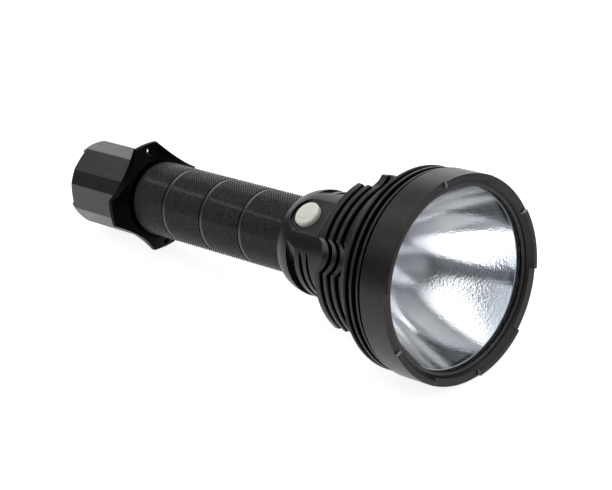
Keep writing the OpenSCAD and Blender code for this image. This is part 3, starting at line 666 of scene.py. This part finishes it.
def make_mirror():
    """Dimpled paraboloid, pale rim, flange and outer shell as one closed skin."""
    radii = [MIRROR_HOLE_R + (MIRROR_R - MIRROR_HOLE_R) * i / PEEL_ROWS for i in range(PEEL_ROWS + 1)]
    points = []
    for r in radii:
        for j in range(PEEL_AROUND):
            angle = 360 * j / PEEL_AROUND
            here = spot(dish_station(r), r, angle)
            points.append(spot(dish_station(r), r + peel(here, r), angle))
    first = FLANGE_BACK - SHELL_INSET
    last = MIRROR_BACK + SHELL_INSET
    shell = [first + (last - first) * i / SHELL_STEPS for i in range(SHELL_STEPS + 1)]
    outer = [(MIRROR_FRONT, MIRROR_R + RIM_WIDTH), (MIRROR_FRONT, FLANGE_R), (FLANGE_BACK, FLANGE_R),
             (FLANGE_BACK, SHELL_R)]
    outer += [(x, dish_radius(x) + MIRROR_WALL) for x in shell]
    outer.append((MIRROR_BACK, dish_radius(last) + MIRROR_WALL))
    points += [spot(x, r, 360 * j / PEEL_AROUND) for x, r in outer for j in range(PEEL_AROUND)]
    rings = len(radii) + len(outer)
    made = object_from("mirror", points, rings_to_faces(rings, PEEL_AROUND), sharp=40)
    stand_in(made, "housing", "reflector", [LOOKS["reflector_skin"], RIM_LOOK, LOOKS["seal_rubber"]])
    for ring, look in ((PEEL_ROWS, RIM), (PEEL_ROWS + 1, SEAL)):
        for face in range(ring * PEEL_AROUND, (ring + 1) * PEEL_AROUND):
            made.data.polygons[face].material_index = look


# Silicone button with a crowned top and a fine ring
CROWN_RISE = 0.45
RING_SHARE = 0.74
RING_DEEP = 0.07
RING_SPREAD = 0.06
CENTRE_R = 0.02
CAP_SHARE = 1.5
BUTTON_ROUND = 1.1
BUTTON_STEPS = 24
BUTTON_AROUND = 96


def make_button():
    """Button turned about its press axis, with its radii and heights read from the CAD node."""
    joints = frame["record"]["behaviour"]["joints"]
    press = Vector(next(joint for joint in joints if joint["name"] == "button_press")["axis"])
    up = -press.normalized()
    across = up.cross(BEAM).normalized()
    corners = [vertex.co for vertex in frame["nodes"]["switch_button"].data.vertices]
    middle = sum(corners, Vector()) / len(corners)
    heights = [(corner - middle).dot(up) / MM for corner in corners]
    radii = [((corner - middle) - up * (corner - middle).dot(up)).length / MM for corner in corners]
    top, bottom = max(heights), min(heights)
    outer = max(radii)
    cap_r = max(r for r, h in zip(radii, heights) if h > top - CAP_SHARE * BUTTON_ROUND)
    flange_low = min(h for r, h in zip(radii, heights) if r > outer - NEAR)
    flange_top = max(h for r, h in zip(radii, heights) if r > outer - NEAR)
    nub_r = max(r for r, h in zip(radii, heights) if h < bottom + NEAR)
    profile = [(CENTRE_R, bottom), (nub_r, bottom), (nub_r, flange_low), (outer, flange_low),
               (outer, flange_top), (cap_r, flange_top)]
    for i in range(BUTTON_STEPS + 1):
        turn = math.radians(90 * i / BUTTON_STEPS)
        profile.append((cap_r - BUTTON_ROUND * (1 - math.cos(turn)),
                        top - CROWN_RISE - BUTTON_ROUND * (1 - math.sin(turn))))
    flat_r = cap_r - BUTTON_ROUND
    for i in range(1, BUTTON_STEPS + 1):
        share = 1 - i / BUTTON_STEPS
        dip = RING_DEEP * math.exp(-((share - RING_SHARE) / RING_SPREAD) ** 2)
        profile.append((max(CENTRE_R, flat_r * share), top - CROWN_RISE * share**2 - dip))
    points = []
    for r, h in profile:
        for j in range(BUTTON_AROUND):
            turn = 2 * math.pi * j / BUTTON_AROUND
            out = BEAM * math.cos(turn) + across * math.sin(turn)
            points.append(middle + (up * h + out * r) * MM)
    made = object_from("thumb_button", points, rings_to_faces(len(profile), BUTTON_AROUND))
    stand_in(made, "button", "switch_button", [LOOKS["pale_button"]])


make_grip_tube()
make_mirror()
make_button()


# Stage, lamps and camera
FLOOR_MIDDLE = (-0.06, 0, 0)
FLOOR_REACH = 6.0
FLOOR_NEAR = 0.43
FLOOR_FAR = 0.85
# The floor's colours and glow are a painted pool of light, white near the object and dark grey far away.
PAINTED_FAR_SHADE = (0.12, 0.12, 0.13)
LIT_POOL_COLOUR = (0.42, 0.42, 0.42)
FAR_GLOW = 0.03
NEAR_GLOW = 0.85


def painted_light_pool(tree):
    """Painted pool of light: one on the near floor and zero far away."""
    place = add(tree, "ShaderNodeTexCoord")
    away = add(tree, "ShaderNodeVectorMath", {1: FLOOR_MIDDLE}, operation="DISTANCE")
    tree.links.new(place.outputs["Object"], away.inputs[0])
    return spread(tree, away.outputs["Value"], 1.0, 0.0, FLOOR_NEAR, FLOOR_FAR)


def make_floor():
    """Pale floor with a painted pool of light: white near the object, also in the mirror, dark grey far
    away, and still takes a shadow.
    """
    r = FLOOR_REACH
    points = [(-r, -r, 0), (r, -r, 0), (r, r, 0), (-r, r, 0)]
    floor = object_from("floor", points, [(0, 1, 2, 3)])
    made, tree, shader = new_material("floor_white")
    near = painted_light_pool(tree)
    colour = ramp(tree, near, ((0.0, PAINTED_FAR_SHADE), (1.0, LIT_POOL_COLOUR)))
    tree.links.new(colour, shader.inputs["Base Color"])
    shader.inputs["Roughness"].default_value = 0.9
    shader.inputs["Specular IOR Level"].default_value = 0.0
    path = add(tree, "ShaderNodeLightPath")
    direct = add(tree, "ShaderNodeMath", operation="ADD", use_clamp=True)
    tree.links.new(path.outputs["Is Camera Ray"], direct.inputs[0])
    tree.links.new(path.outputs["Is Glossy Ray"], direct.inputs[1])
    seen = add(tree, "ShaderNodeMath", operation="ADD", use_clamp=True)
    tree.links.new(direct.outputs[0], seen.inputs[0])
    tree.links.new(path.outputs["Is Transmission Ray"], seen.inputs[1])
    glow = product(tree, seen.outputs[0], spread(tree, near, FAR_GLOW, NEAR_GLOW, 0.0, 1.0))
    shader.inputs["Emission Color"].default_value = (1, 1, 1, 1)
    tree.links.new(glow, shader.inputs["Emission Strength"])
    floor.data.materials.append(made)


LAMP_DISTANCE = 1.3


def heading(azimuth, elevation):
    """Unit vector at an azimuth from -Y towards +X and an elevation."""
    a = math.radians(azimuth)
    e = math.radians(elevation)
    return Vector((math.sin(a) * math.cos(e), -math.cos(a) * math.cos(e), math.sin(e)))


def soft_box(name, azimuth, elevation, wide, tall, brightness):
    """A soft box that faces the middle of the object, its size given as seen from there in degrees."""
    data = bpy.data.lights.new(name, "AREA")
    data.shape = "RECTANGLE"
    data.size = 2 * LAMP_DISTANCE * math.tan(math.radians(wide / 2))
    data.size_y = 2 * LAMP_DISTANCE * math.tan(math.radians(tall / 2))
    data.energy = brightness * math.pi * data.size * data.size_y
    out = heading(azimuth, elevation)
    made = bpy.data.objects.new(name, data)
    made.location = out * LAMP_DISTANCE
    made.rotation_mode = "QUATERNION"
    made.rotation_quaternion = out.to_track_quat("Z", "Y")
    bpy.context.scene.collection.objects.link(made)


LEVEL_SHADE = (0.068, 0.070, 0.080)
UPPER_SHADE = (0.262, 0.264, 0.272)


def make_world():
    """Grey room that is darker at eye level than above."""
    world = bpy.data.worlds.new("studio")
    bpy.context.scene.world = world
    world.use_nodes = True
    tree = world.node_tree
    where = add(tree, "ShaderNodeTexCoord")
    parts = add(tree, "ShaderNodeSeparateXYZ")
    tree.links.new(where.outputs["Generated"], parts.inputs["Vector"])
    shade = ramp(tree, parts.outputs["Z"], ((0.0, LEVEL_SHADE), (0.7, UPPER_SHADE)))
    tree.links.new(shade, tree.nodes["Background"].inputs["Color"])


CAMERA_PLACE = (0.65281, -0.54228, 0.43887)
CAMERA_AZIMUTH = 49.124
CAMERA_ELEVATION = 26.093
CAMERA_LEAN = 4.951
SENSOR = 36.0
LENS = 121.765


def make_camera():
    """Camera at the photograph's viewing angle."""
    data = bpy.data.cameras.new("camera")
    data.sensor_width = SENSOR
    data.lens = LENS
    lean = math.radians(CAMERA_LEAN)
    back = heading(CAMERA_AZIMUTH, CAMERA_ELEVATION)
    level = heading(CAMERA_AZIMUTH + 90, 0)
    right = level * math.cos(lean) - back.cross(level) * math.sin(lean)
    turn = Matrix((right, back.cross(right), back)).transposed().to_4x4()
    made = bpy.data.objects.new("camera", data)
    made.matrix_world = Matrix.Translation(CAMERA_PLACE) @ turn
    bpy.context.scene.collection.objects.link(made)
    bpy.context.scene.camera = made


make_floor()
make_world()
soft_box("overhead", azimuth=240, elevation=72, wide=70, tall=36, brightness=2.0)
soft_box("behind", azimuth=222, elevation=17, wide=80, tall=34, brightness=1.25)
soft_box("right_of_camera", azimuth=105, elevation=41, wide=52, tall=46, brightness=1.5)
soft_box("left_of_camera", azimuth=359, elevation=48, wide=56, tall=44, brightness=1.05)
soft_box("low_front", azimuth=54, elevation=17, wide=46, tall=34, brightness=0.28)
soft_box("far_left_strip", azimuth=290, elevation=33, wide=50, tall=3, brightness=3.5)
make_camera()
bpy.context.scene.view_settings.view_transform = "Standard"
